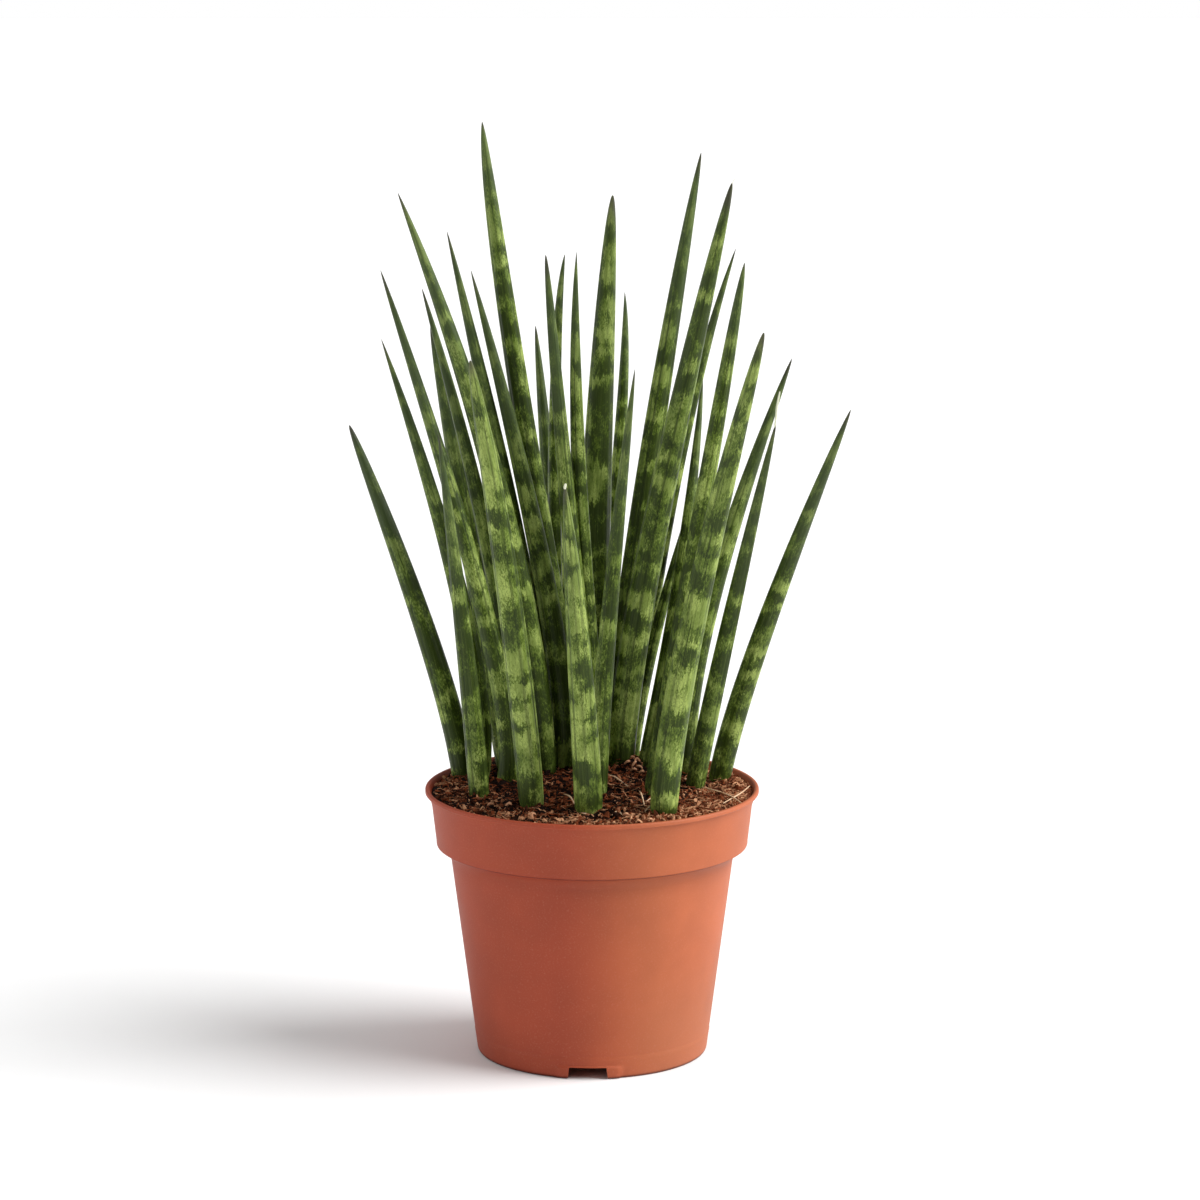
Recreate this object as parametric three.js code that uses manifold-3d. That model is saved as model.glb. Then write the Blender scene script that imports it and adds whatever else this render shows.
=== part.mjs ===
// A potted cylindrical snake plant: a sheaf of stiff, round, pointed leaves rising out of
// coir potting mix in a thin plastic nursery pot. Units are millimetres, +Z is up, and the
// origin is on the pot's axis at the level it stands on. -Y is the front.
import * as THREE from 'three';
import Module from 'manifold-3d';
import { mergeVertices } from 'three/addons/utils/BufferGeometryUtils.js';

const wasm = await Module();
wasm.setup();

// ---- driving dimensions ----
const SEED = 20250611;

// pot: classic 12 cm nursery pot with a tall rolled collar
const POT_HEIGHT = 97;
const LIP_R = 60;                 // outside of the rolled lip
const LIP_TALL = 1.7;
const COLLAR_TOP_R = 57.6;
const COLLAR_FOOT_R = 56.1;
const COLLAR_FOOT_Z = 78;
const BODY_TOP_R = 50.7;
const BODY_TOP_Z = 70.5;
const FOOT_R = 41.5;
const WALL = 1.1;
const FLOOR_UNDER = 4.8;          // the floor stands clear of the table on a foot ring
const FLOOR_TOP = 6.2;
const FOOT_RING = 2.3;            // width of the foot ring
const POT_SIDES = 60;

// drainage: notches through the foot ring and round holes in the floor beside them
const NOTCHES = 3;
const NOTCH_WIDE = 13.2;
const NOTCH_TALL = 4.4;
const NOTCH_FLARE = 1.1;          // extra half width at the very bottom
const NOTCH_TURN = -92;           // degrees, where the first notch is
const DRAIN_R = 4;
const DRAIN_RING_R = 30;

// potting mix
const GAP = 0.3;                  // clearance between separate solids
const SOIL_EDGE_Z = 94.2;
const SOIL_EDGE_R = 56.8;
const SOIL_MOUND = 3.9;           // rise from the edge to the middle
const SOIL_RELIEF = 0.35;         // half height of one wave of the lumps
const SOIL_WAVES = 6;
const SOIL_WAVE_SHORT = 7;        // shortest and longest wavelength
const SOIL_WAVE_LONG = 19;
const SOIL_SIDES = 48;
const SOIL_RINGS = 9;
const CLUMP = { x: 13, y: 20, r: 7.5, high: 3.2 };   // loose coir clump behind the middle

// leaves
const LEAF_SIDES = 10;            // every other edge is a shallow flute
const FLUTE = 0.055;              // depth of a flute as a share of the radius
const BURIED = 11;                // how far a leaf goes on below the surface
const NECK = 0.24;                // how much slimmer the leaf is where it leaves the soil
const NECK_REACH = 0.035;
const TAPER_START = 2.5;
const BELLY = -0.28;              // share of the front-to-back lean that bows back upright
const LEAF_STEPS = [0, 0.05, 0.14, 0.28, 0.43, 0.57, 0.7, 0.81, 0.9, 0.96];

// How a leaf's girth runs out to its point: small is blunt, large is drawn out fine.
const BLUNT = 0.5;
const FULL = 0.62;
const PLAIN = 0.7;
const FINE = 0.82;

// One row a leaf, from the left round to the right:
// foot x, foot y, tip x, tip y, tip z, sideways bow, share of the height where the bow is,
// fullest diameter, point
const LEAVES = [
  [-46.5, 15, -89, 54, 220, 8.5, 0.25, 8.8, BLUNT],
  [-41.5, 7, -75.5, 23, 256, 17, 0.25, 7.9, PLAIN],
  [-31, 1, -75, 12, 282, 15, 0.15, 7.8, FULL],
  [-40, -18, -53, -38, 231, 1.5, 0.25, 7.4, PLAIN],
  [-30, 13, -60.5, 16, 275, 15.5, 0.25, 7.3, FULL],
  [-30.5, 22, -58, 31, 260, 1, 0.3, 8.4, BLUNT],
  [-17, 12, -68.5, 8, 310, 17.5, 0.45, 9.3, PLAIN],
  [-17.5, 26, -52, 30, 294, 9.5, 0.25, 8.9, PLAIN],
  [-21, -33, -41, -70, 261, 4, 0.5, 9.4, BLUNT],
  [-10.5, 20, -43.5, 30, 280, 12, 0.25, 8.9, PLAIN],
  [-4, 30, -39.5, 43, 332, -3, 0.8, 8.2, PLAIN],
  [-9, 45, -21, 75, 254, 2, 0.35, 8, FULL],
  [1, 11, -16.5, 20, 286.5, -1, 0.25, 7.2, BLUNT],
  [-12, 35, -10, 62, 282, -6, 0.8, 5.2, PLAIN],
  [3, 18, -5.5, 22, 287.5, -5.5, 0.65, 6.5, FINE],
  [2, 41.5, 7.5, 58, 304, -6.5, 0.25, 13, BLUNT],
  [-1, 49.5, 12, 80, 266, 4.5, 0.8, 5.6, FINE],
  [2, -20, 15, -26, 252, -3, 0.3, 7, PLAIN],
  [-1, -41, -9, -80, 220, 1, 0.25, 10.1, FULL],
  [6.5, 31.5, 39.5, 53, 320, -4.5, 0.45, 9.3, FULL],
  [10, 21.5, 49.5, 11, 313, -8, 0.25, 10.8, BLUNT],
  [14, 41, 52, 45, 286, -10, 0.6, 5.8, PLAIN],
  [18.5, 20, 40.5, 57, 238, 5, 0.5, 5.7, PLAIN],
  [14.5, 29.5, 44, 50, 215, -7, 0.3, 4.9, PLAIN],
  [21, -20, 53.5, -8, 287, 0, 0.8, 6.7, PLAIN],
  [25, -41, 58, -74, 271, -7, 0.3, 10.1, BLUNT],
  [34.5, 12, 72, 30, 248, -16, 0.25, 8.4, FULL],
  [36.5, -7, 64, -32, 234, -1, 0.25, 7.1, FULL],
  [45.5, 6, 89, -48, 241, -5, 0.25, 8.2, FULL],
];

// ---- materials ----
const TERRACOTTA = 0xb4563b;
const COIR_BROWN = 0x4f2c1c;
const LEAF_HUE = 0.25;
const LEAF_HUE_SPREAD = 0.02;
const LEAF_SATURATION = 0.36;
const LEAF_LIGHTNESS = 0.33;
const LEAF_LIGHTNESS_SPREAD = 0.05;

// ---- helpers ----
function makeRandom(seed) {
  let state = seed >>> 0;
  return () => {
    state = (Math.imul(state, 1664525) + 1013904223) >>> 0;
    return state / 4294967296;
  };
}

function toManifold(geometry) {
  const plain = geometry.clone();
  plain.deleteAttribute('normal');
  plain.deleteAttribute('uv');
  const welded = mergeVertices(plain, 1e-4);
  const mesh = new wasm.Mesh({
    numProp: 3,
    vertProperties: new Float32Array(welded.attributes.position.array),
    triVerts: new Uint32Array(welded.index.array),
  });
  return new wasm.Manifold(mesh);
}

function fromManifold(solid) {
  const mesh = solid.getMesh();
  const geometry = new THREE.BufferGeometry();
  geometry.setAttribute('position', new THREE.BufferAttribute(mesh.vertProperties, 3));
  geometry.setIndex(new THREE.BufferAttribute(mesh.triVerts, 1));
  return geometry;
}

function meshGeometry(points, faces) {
  const geometry = new THREE.BufferGeometry();
  geometry.setAttribute('position', new THREE.Float32BufferAttribute(points.flat(), 3));
  geometry.setIndex(faces.flat());
  return geometry;
}

// Skins a stack of equal rings, each a list of points that runs anticlockwise seen from
// above, and closes it with a vertex below the first ring and one above the last.
function skin(rings, bottom, top) {
  const sides = rings[0].length;
  const points = [bottom, ...rings.flat(), top];
  const last = points.length - 1;
  const at = (ring, side) => 1 + ring * sides + (side % sides);
  const faces = [];
  for (let side = 0; side < sides; side += 1) {
    faces.push([0, at(0, side + 1), at(0, side)]);
    faces.push([last, at(rings.length - 1, side), at(rings.length - 1, side + 1)]);
    for (let ring = 0; ring + 1 < rings.length; ring += 1) {
      faces.push([at(ring, side), at(ring, side + 1), at(ring + 1, side + 1)]);
      faces.push([at(ring, side), at(ring + 1, side + 1), at(ring + 1, side)]);
    }
  }
  return meshGeometry(points, faces);
}

function circle(radius, z, sides) {
  return Array.from({ length: sides }, (_, side) => {
    const turn = (side / sides) * Math.PI * 2;
    return [radius * Math.cos(turn), radius * Math.sin(turn), z];
  });
}

function addMesh(parent, name, geometry, color, roughness) {
  geometry.computeVertexNormals();
  const material = new THREE.MeshStandardMaterial({ color, roughness, metalness: 0 });
  const mesh = new THREE.Mesh(geometry, material);
  mesh.name = name;
  parent.add(mesh);
  return mesh;
}

// ---- pot ----
// The wall's section, once round: under the floor, out and up the outside, over the lip
// and down the inside. Each pair is a radius and a height.
function potSection() {
  const slope = (BODY_TOP_R - FOOT_R) / BODY_TOP_Z;
  const lipUnder = POT_HEIGHT - LIP_TALL;
  return [
    [FOOT_R - FOOT_RING - 3, FLOOR_UNDER],
    [FOOT_R - FOOT_RING - 0.6, FLOOR_UNDER - 1.6],
    [FOOT_R - FOOT_RING, 0],
    [FOOT_R - 0.6, 0],
    [FOOT_R, 0.8],
    [BODY_TOP_R, BODY_TOP_Z],
    [BODY_TOP_R + 0.6, BODY_TOP_Z + 2],
    [BODY_TOP_R + 2.4, BODY_TOP_Z + 4.2],
    [COLLAR_FOOT_R - 0.9, COLLAR_FOOT_Z - 1.7],
    [COLLAR_FOOT_R, COLLAR_FOOT_Z],
    [COLLAR_TOP_R, POT_HEIGHT - 6],
    [COLLAR_TOP_R + 0.7, POT_HEIGHT - 3.6],
    [LIP_R - 0.9, lipUnder - 0.3],
    [LIP_R, lipUnder + 0.2],
    [LIP_R, POT_HEIGHT - 0.5],
    [LIP_R - 0.5, POT_HEIGHT],
    [LIP_R - WALL, POT_HEIGHT],
    [LIP_R - WALL - 0.7, POT_HEIGHT - 1],
    [COLLAR_TOP_R - WALL + 0.8, POT_HEIGHT - 3.4],
    [COLLAR_TOP_R - WALL, POT_HEIGHT - 6.2],
    [COLLAR_FOOT_R - WALL, COLLAR_FOOT_Z],
    [COLLAR_FOOT_R - WALL - 1.1, COLLAR_FOOT_Z - 1.4],
    [BODY_TOP_R - WALL + 2.6, BODY_TOP_Z + 4.5],
    [BODY_TOP_R - WALL + 0.7, BODY_TOP_Z + 2.4],
    [BODY_TOP_R - WALL, BODY_TOP_Z],
    [FOOT_R + slope * (FLOOR_TOP + 1.8) - WALL, FLOOR_TOP + 1.8],
    [FOOT_R - WALL - 0.8, FLOOR_TOP],
  ];
}

function makeNotch(turn) {
  const half = NOTCH_WIDE / 2;
  const outline = new THREE.Shape([
    new THREE.Vector2(-half - NOTCH_FLARE, -1),
    new THREE.Vector2(half + NOTCH_FLARE, -1),
    new THREE.Vector2(half, NOTCH_FLARE),
    new THREE.Vector2(half, NOTCH_TALL),
    new THREE.Vector2(-half, NOTCH_TALL),
    new THREE.Vector2(-half, NOTCH_FLARE),
  ]);
  const prism = new THREE.ExtrudeGeometry(outline, { depth: 12, bevelEnabled: false });
  prism.rotateX(Math.PI / 2);               // the outline stands up and runs towards -Y
  prism.translate(0, -(FOOT_R - FOOT_RING - 5), 0);
  prism.rotateZ(turn + Math.PI / 2);
  return prism;
}

function makeDrain(turn) {
  const tool = new THREE.CylinderGeometry(DRAIN_R, DRAIN_R, 12, 16);
  tool.rotateX(Math.PI / 2);
  tool.translate(DRAIN_RING_R * Math.cos(turn), DRAIN_RING_R * Math.sin(turn), FLOOR_TOP);
  return tool;
}

function makePot() {
  const rings = potSection().map(([radius, z]) => circle(radius, z, POT_SIDES));
  let pot = toManifold(skin(rings, [0, 0, FLOOR_UNDER], [0, 0, FLOOR_TOP]));
  for (let index = 0; index < NOTCHES; index += 1) {
    const turn = THREE.MathUtils.degToRad(NOTCH_TURN + (360 / NOTCHES) * index);
    pot = pot.subtract(toManifold(makeNotch(turn)));
    pot = pot.subtract(toManifold(makeDrain(turn)));
  }
  return fromManifold(pot);
}

// ---- leaves ----
function soilHeight(x, y) {
  const share = Math.hypot(x, y) / SOIL_EDGE_R;
  return SOIL_EDGE_Z + SOIL_MOUND * Math.max(0, 1 - share * share);
}

// A leaf's centre line is a quadratic curve from its foot to its tip. Its middle point is
// on the straight line between them, pushed sideways by the bow and back upright in depth.
function leafPath(row) {
  const [footX, footY, tipX, tipY, tipZ, bow, share] = row;
  const foot = new THREE.Vector3(footX, footY, soilHeight(footX, footY));
  const tip = new THREE.Vector3(tipX, tipY, tipZ);
  const knee = foot.clone().lerp(tip, share);
  knee.x += bow;
  knee.y += BELLY * (tipY - footY);
  return new THREE.QuadraticBezierCurve3(foot, knee, tip);
}

function leafRadius(row, t) {
  const [girth, taper] = row.slice(7);
  const point = (1 - t ** TAPER_START) ** taper;
  const neck = 1 - NECK * Math.exp(-t / NECK_REACH);
  return (girth / 2) * point * neck;
}

// A ring of the leaf square to its centre line, at a curve parameter or, below the
// surface, at a depth along the line that the leaf sets out on.
function leafRing(path, t, depth, radius, sides, flute) {
  const along = path.getTangent(t);
  const centre = path.getPoint(t).addScaledVector(along, -depth);
  const across = new THREE.Vector3(1, 0, 0).addScaledVector(along, -along.x).normalize();
  const over = along.clone().cross(across);
  return Array.from({ length: sides }, (_, side) => {
    const turn = (side / sides) * Math.PI * 2;
    const reach = radius * (1 - (side % 2 ? flute : 0));
    return centre.clone()
      .addScaledVector(across, reach * Math.cos(turn))
      .addScaledVector(over, reach * Math.sin(turn))
      .toArray();
  });
}

function makeLeaf(row) {
  const path = leafPath(row);
  const start = path.getTangent(0);
  const neck = leafRadius(row, 0);
  const rings = [
    leafRing(path, 0, BURIED, neck * 0.55, LEAF_SIDES, FLUTE),
    leafRing(path, 0, BURIED - 3, neck * 0.9, LEAF_SIDES, FLUTE),
    ...LEAF_STEPS.map((t) => leafRing(path, t, 0, leafRadius(row, t), LEAF_SIDES, FLUTE)),
  ];
  const bottom = path.getPoint(0).addScaledVector(start, -BURIED).toArray();
  return skin(rings, bottom, path.getPoint(1).toArray());
}

// The plain hole that a leaf stands in, clear of it all round.
function makeSocket(row) {
  const path = leafPath(row);
  const start = path.getTangent(0);
  const sides = 8;
  const clear = (radius) => (radius + GAP + 0.05) / Math.cos(Math.PI / sides);
  const rings = [
    leafRing(path, 0, BURIED + GAP, clear(leafRadius(row, 0)), sides, 0),
    leafRing(path, 0, 0, clear(leafRadius(row, 0)), sides, 0),
    leafRing(path, LEAF_STEPS[1], 0, clear(leafRadius(row, LEAF_STEPS[1])), sides, 0),
  ];
  const bottom = path.getPoint(0).addScaledVector(start, -BURIED - GAP).toArray();
  return skin(rings, bottom, path.getPoint(LEAF_STEPS[1]).toArray());
}

// ---- potting mix ----
// Lumps in the surface: a few waves that cross at seeded angles.
function makeRelief() {
  const random = makeRandom(SEED);
  const waves = Array.from({ length: SOIL_WAVES }, () => {
    const length = SOIL_WAVE_SHORT + (SOIL_WAVE_LONG - SOIL_WAVE_SHORT) * random();
    const turn = random() * Math.PI * 2;
    const pitch = (2 * Math.PI) / length;
    return [pitch * Math.cos(turn), pitch * Math.sin(turn), random() * Math.PI * 2];
  });
  return (x, y) => waves.reduce((sum, [alongX, alongY, phase]) => (
    sum + SOIL_RELIEF * Math.sin(alongX * x + alongY * y + phase)
  ), 0);
}

function makeSoil() {
  const relief = makeRelief();
  const slope = (BODY_TOP_R - FOOT_R) / BODY_TOP_Z;
  const inside = (radius) => radius - WALL - GAP;
  const base = FLOOR_TOP + GAP;
  const wall = [
    [FOOT_R - WALL - 1.3, base],
    [inside(FOOT_R) + slope * (base + 1.8), base + 1.8],
    [inside(BODY_TOP_R), BODY_TOP_Z],
    [inside(BODY_TOP_R) + 0.6, BODY_TOP_Z + 2.6],
    [inside(BODY_TOP_R) + 2.5, BODY_TOP_Z + 4.9],
    [inside(COLLAR_FOOT_R) - 1.2, COLLAR_FOOT_Z - 1.1],
    [inside(COLLAR_FOOT_R), COLLAR_FOOT_Z + 0.2],
    [inside(COLLAR_TOP_R), POT_HEIGHT - 6.2],
    [inside(COLLAR_TOP_R) + 0.6, SOIL_EDGE_Z - 0.6],
  ];
  const rings = wall.map(([radius, z]) => circle(radius, z, SOIL_SIDES));
  for (let ring = 0; ring < SOIL_RINGS; ring += 1) {
    const radius = (inside(COLLAR_TOP_R) - 1) * (1 - ring / SOIL_RINGS);
    const loop = circle(radius, 0, SOIL_SIDES).map(([x, y]) => {
      const clump = Math.hypot(x - CLUMP.x, y - CLUMP.y) / CLUMP.r;
      const heap = CLUMP.high * Math.max(0, 1 - clump ** 2);
      return [x, y, soilHeight(x, y) + relief(x, y) * (ring ? 1 : 0.5) + heap];
    });
    rings.push(loop);
  }
  let soil = toManifold(skin(rings, [0, 0, base], [0, 0, soilHeight(0, 0) + relief(0, 0)]));
  for (const row of LEAVES) {
    soil = soil.subtract(toManifold(makeSocket(row)));
  }
  // Crumbs cut loose between neighbouring holes are left out.
  const pieces = soil.decompose().sort((a, b) => b.volume() - a.volume());
  return fromManifold(pieces[0]);
}

// ---- the plant ----
const group = new THREE.Group();
group.name = 'snake_plant_in_pot';
addMesh(group, 'pot', makePot(), TERRACOTTA, 0.6);
addMesh(group, 'soil', makeSoil(), COIR_BROWN, 0.95);

const tint = makeRandom(SEED + 1);
LEAVES.forEach((row, index) => {
  const hue = LEAF_HUE + (tint() - 0.5) * LEAF_HUE_SPREAD * 2;
  const lightness = LEAF_LIGHTNESS + (tint() - 0.5) * LEAF_LIGHTNESS_SPREAD * 2;
  const color = new THREE.Color().setHSL(hue, LEAF_SATURATION, lightness);
  const name = `leaf_${String(index + 1).padStart(2, '0')}`;
  addMesh(group, name, makeLeaf(row), color, 0.5);
});

export default group;
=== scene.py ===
"""A young cylindrical snake plant in its nursery pot, laid out as a Blender add-on.

Round banded leaves stand in coir potting mix in a pot of thin terracotta-coloured
plastic. Each operator makes one piece, or one group of like pieces, around the frame.
Lengths are in metres, apart from values whose names or comments say millimetres.
"""

import functools
import math

import bmesh
import bpy
from bpy.props import FloatProperty, FloatVectorProperty, IntProperty, PointerProperty
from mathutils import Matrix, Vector, noise


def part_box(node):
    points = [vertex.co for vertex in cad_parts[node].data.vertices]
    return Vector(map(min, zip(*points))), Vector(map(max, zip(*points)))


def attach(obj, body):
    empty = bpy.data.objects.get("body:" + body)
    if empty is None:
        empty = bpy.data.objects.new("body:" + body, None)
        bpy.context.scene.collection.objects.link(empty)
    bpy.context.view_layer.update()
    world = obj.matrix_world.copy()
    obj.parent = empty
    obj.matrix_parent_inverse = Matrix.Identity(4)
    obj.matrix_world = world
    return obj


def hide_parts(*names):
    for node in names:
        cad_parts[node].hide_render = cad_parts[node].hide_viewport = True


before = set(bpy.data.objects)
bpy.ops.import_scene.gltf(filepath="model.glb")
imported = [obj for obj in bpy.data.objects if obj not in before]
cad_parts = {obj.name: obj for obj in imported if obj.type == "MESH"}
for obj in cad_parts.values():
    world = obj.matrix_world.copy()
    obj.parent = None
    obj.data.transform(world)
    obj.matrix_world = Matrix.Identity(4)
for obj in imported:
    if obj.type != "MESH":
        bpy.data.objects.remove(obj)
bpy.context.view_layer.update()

bl_info = {
    "name": "Potted cylindrical snake plant",
    "version": (1, 0, 0),
    "blender": (4, 5, 0),
    "location": "3D View > Sidebar > Snake plant",
    "description": "Leaves, potting mix, nursery pot and studio of a young snake plant",
    "category": "Add Mesh",
}

MM = 0.001
BODY = "root"
LEAVES = sorted(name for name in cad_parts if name.startswith("leaf_"))
POT_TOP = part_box("pot")[1]
POT_HEIGHT = POT_TOP.z / MM
LIP_R = POT_TOP.x / MM

# ---- potting mix, in millimetres ----
SOIL_FLOOR = 6.5
SOIL_EDGE_Z = 95.6
SOIL_EDGE_R = 57.5
SOIL_MOUND = 3.9
CLUMP_AT = (13.0, 20.0)
CLUMP_R = 7.5
CLUMP_HIGH = 3.2
HEAP_HIGH = 0.9
HEAP_WIDE = 2.2
PER_SQUARE_METRE = 1e4  # of what a square centimetre holds

# ---- pot ----
# Height of the crease under the collar, in millimetres.
CREASE_Z = 76.4
NOTCH_RING = 0.041
DRAIN_RING = 0.030
FIRST_NOTCH = math.radians(-92)
CUTTER = 0.012

# ---- leaves ----
# The solid's rings of a leaf lie at these shares of its curve, counted from the tip.
RING_SHARES = (0.96, 0.9, 0.81, 0.7, 0.57, 0.43, 0.28, 0.14, 0.05, 0.0)
TAPER_START = 2.5
NECK = 0.14
NECK_REACH = 0.035
BURIED = 0.011
BURIED_ROWS = 2
SAME_PLACE = 1e-6
# Steps between the leaves' places in the noise that marks their skin.
LEAVES_APART = 400.0
BANDS_PER_MM = 0.15
YOUNG_AGE, COMMON_AGE = 0.2, 0.8
COMMON_SHADE = 0.5


# ---- node graphs ----
class Wire:
    """A node's output. Sums and products of wires and numbers add Math nodes."""

    def __init__(self, graph, socket):
        self.graph = graph
        self.socket = socket

    def outlet(self, name):
        """Another output of the same node."""
        return Wire(self.graph, self.socket.node.outputs[name])

    def __add__(self, other):
        return self.graph.math("ADD", self, other)

    def __radd__(self, other):
        return self.graph.math("ADD", other, self)

    def __sub__(self, other):
        return self.graph.math("SUBTRACT", self, other)

    def __rsub__(self, other):
        return self.graph.math("SUBTRACT", other, self)

    def __mul__(self, other):
        return self.graph.math("MULTIPLY", self, other)

    def __rmul__(self, other):
        return self.graph.math("MULTIPLY", other, self)

    def __truediv__(self, other):
        return self.graph.math("DIVIDE", self, other)

    def __rtruediv__(self, other):
        return self.graph.math("DIVIDE", other, self)

    def __pow__(self, other):
        return self.graph.math("POWER", self, other)


class Graph:
    """A node tree that is built from expressions."""

    def __init__(self, tree):
        self.tree = tree
        tree.nodes.clear()

    def node(self, kind, settings=None, inputs=None, out=0):
        """Adds a node with its settings, then its sockets' values or links."""
        made = self.tree.nodes.new(kind)
        for name, value in (settings or {}).items():
            setattr(made, name, value)
        for key, value in (inputs or {}).items():
            socket = made.inputs[key]
            if isinstance(value, Wire):
                self.tree.links.new(value.socket, socket)
            elif socket.type == "RGBA":
                socket.default_value = (*value[:3], 1.0)
            else:
                socket.default_value = value
        return Wire(self, made.outputs[out]) if len(made.outputs) else None

    # numbers
    def math(self, operation, *values):
        return self.node("ShaderNodeMath", {"operation": operation}, dict(enumerate(values)))

    def ramp(self, value, low, high):
        """Rises smoothly from 0 at low to 1 at high."""
        sockets = {"Value": value, "From Min": low, "From Max": high}
        return self.node("ShaderNodeMapRange", {"interpolation_type": "SMOOTHSTEP"}, sockets)

    # vectors
    def vector(self, operation, *values):
        return self.node(
            "ShaderNodeVectorMath", {"operation": operation}, dict(enumerate(values))
        )

    def scaled(self, value, factor):
        sockets = {0: value, "Scale": factor}
        return self.node("ShaderNodeVectorMath", {"operation": "SCALE"}, sockets)

    def joined(self, x, y, z):
        return self.node("ShaderNodeCombineXYZ", None, {0: x, 1: y, 2: z})

    def parts(self, value):
        split = self.node("ShaderNodeSeparateXYZ", None, {0: value})
        return split, split.outlet("Y"), split.outlet("Z")

    # textures and colours
    def noise(self, place, scale=1.0, detail=2.0, roughness=0.5, out="Fac"):
        sockets = {"Vector": place, "Scale": scale, "Detail": detail, "Roughness": roughness}
        return self.node("ShaderNodeTexNoise", None, sockets, out)

    def blend(self, share, first, second, kind="MIX"):
        """The first colour turning into the second as the share rises to 1."""
        settings = {"data_type": "RGBA", "blend_type": kind, "clamp_factor": True}
        return self.node("ShaderNodeMix", settings, {0: share, 6: first, 7: second}, 2)

    def attribute(self, name, out="Fac"):
        return self.node("ShaderNodeAttribute", {"attribute_name": name}, None, out)


class Shape(Graph):
    """A Geometry Nodes tree with a named input for each of its sizes."""

    SOCKETS = {
        "count": "NodeSocketInt",
        "number": "NodeSocketFloat",
        "place": "NodeSocketVector",
    }

    def __init__(self, name, **sizes):
        tree = bpy.data.node_groups.new(name, "GeometryNodeTree")
        super().__init__(tree)
        add_socket = tree.interface.new_socket
        add_socket("Geometry", in_out="INPUT", socket_type="NodeSocketGeometry")
        for size, kind in sizes.items():
            add_socket(size, in_out="INPUT", socket_type=self.SOCKETS[kind])
        add_socket("Geometry", in_out="OUTPUT", socket_type="NodeSocketGeometry")
        self.entry = tree.nodes.new("NodeGroupInput")

    def size(self, name):
        return Wire(self, self.entry.outputs[name])

    def index(self):
        return self.node("GeometryNodeInputIndex")

    def random(self, low, high, seed, key=None):
        """A number between low and high for each element."""
        sockets = {2: low, 3: high, "Seed": seed}
        if key is not None:
            sockets["ID"] = key
        return self.node("FunctionNodeRandomValue", {"data_type": "FLOAT"}, sockets, 1)

    def random_vector(self, low, high, seed):
        sockets = {0: low, 1: high, "Seed": seed}
        return self.node("FunctionNodeRandomValue", {"data_type": "FLOAT_VECTOR"}, sockets)

    def store(self, geometry, name, value, kind="FLOAT", domain="POINT"):
        settings = {"data_type": kind, "domain": domain}
        sockets = {"Geometry": geometry, "Name": name, "Value": value}
        return self.node("GeometryNodeStoreNamedAttribute", settings, sockets)

    def read(self, name, kind="FLOAT"):
        settings = {"data_type": kind}
        return self.node("GeometryNodeInputNamedAttribute", settings, {"Name": name})

    def moved(self, geometry, **sockets):
        """The geometry at a Position of its own, or moved by an Offset."""
        return self.node("GeometryNodeSetPosition", None, {"Geometry": geometry, **sockets})

    def circle(self, sides, radius=1.0):
        sockets = {"Resolution": sides, 4: radius}
        return self.node("GeometryNodeCurvePrimitiveCircle", None, sockets)

    def tube(self, line, profile, **sockets):
        """A closed body swept along a curve."""
        sockets = {"Curve": line, "Profile Curve": profile, "Fill Caps": True, **sockets}
        return self.node("GeometryNodeCurveToMesh", None, sockets)

    def merged(self, *geometries):
        join = self.tree.nodes.new("GeometryNodeJoinGeometry")
        for geometry in reversed(geometries):
            self.tree.links.new(geometry.socket, join.inputs[0])
        return Wire(self, join.outputs[0])

    def finish(self, geometry, material):
        real = self.node("GeometryNodeRealizeInstances", None, {"Geometry": geometry})
        sockets = {"Geometry": real, "Material": material}
        painted = self.node("GeometryNodeSetMaterial", None, sockets)
        self.node("NodeGroupOutput", None, {0: painted})
        return self.tree


class Finish(Graph):
    """A procedural material."""

    def __init__(self, name):
        self.material = bpy.data.materials.new(name)
        self.material.use_nodes = True
        super().__init__(self.material.node_tree)

    def place(self):
        """Object coordinates in millimetres."""
        spot = self.node("ShaderNodeTexCoord", None, None, "Object")
        return self.scaled(spot, 1 / MM)

    def bump(self, height, strength, distance):
        sockets = {"Height": height, "Strength": strength, "Distance": distance}
        return self.node("ShaderNodeBump", None, sockets)

    def surface(self, color, roughness, normal=None, **constants):
        sockets = {"Base Color": color, "Roughness": roughness, **constants}
        if normal is not None:
            sockets["Normal"] = normal
        shader = self.node("ShaderNodeBsdfPrincipled", None, sockets)
        self.node("ShaderNodeOutputMaterial", None, {"Surface": shader})
        return self.material


# ---- pieces ----
def add_object(name, mesh):
    piece = bpy.data.objects.new(name, mesh)
    bpy.context.scene.collection.objects.link(piece)
    return piece


def add_mesh(name, points, faces=(), edges=()):
    """A mesh object from points in millimetres."""
    mesh = bpy.data.meshes.new(name)
    points = [tuple(MM * value for value in point) for point in points]
    mesh.from_pydata(points, edges, faces)
    mesh.update()
    return add_object(name, mesh)


def grow(piece, tree, **sizes):
    """Turns a piece into the plain mesh that a geometry tree makes of it."""
    modifier = piece.modifiers.new(tree.name, "NODES")
    modifier.node_group = tree
    for item in tree.interface.items_tree:
        if item.in_out == "INPUT" and item.name in sizes:
            modifier[item.identifier] = sizes[item.name]
    depsgraph = bpy.context.evaluated_depsgraph_get()
    mesh = bpy.data.meshes.new_from_object(
        piece.evaluated_get(depsgraph), preserve_all_data_layers=True, depsgraph=depsgraph
    )
    if not mesh.polygons:
        raise RuntimeError(f"{piece.name} came out empty")
    mesh.name = piece.name
    piece.modifiers.remove(modifier)
    piece.data = mesh
    return piece


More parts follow.
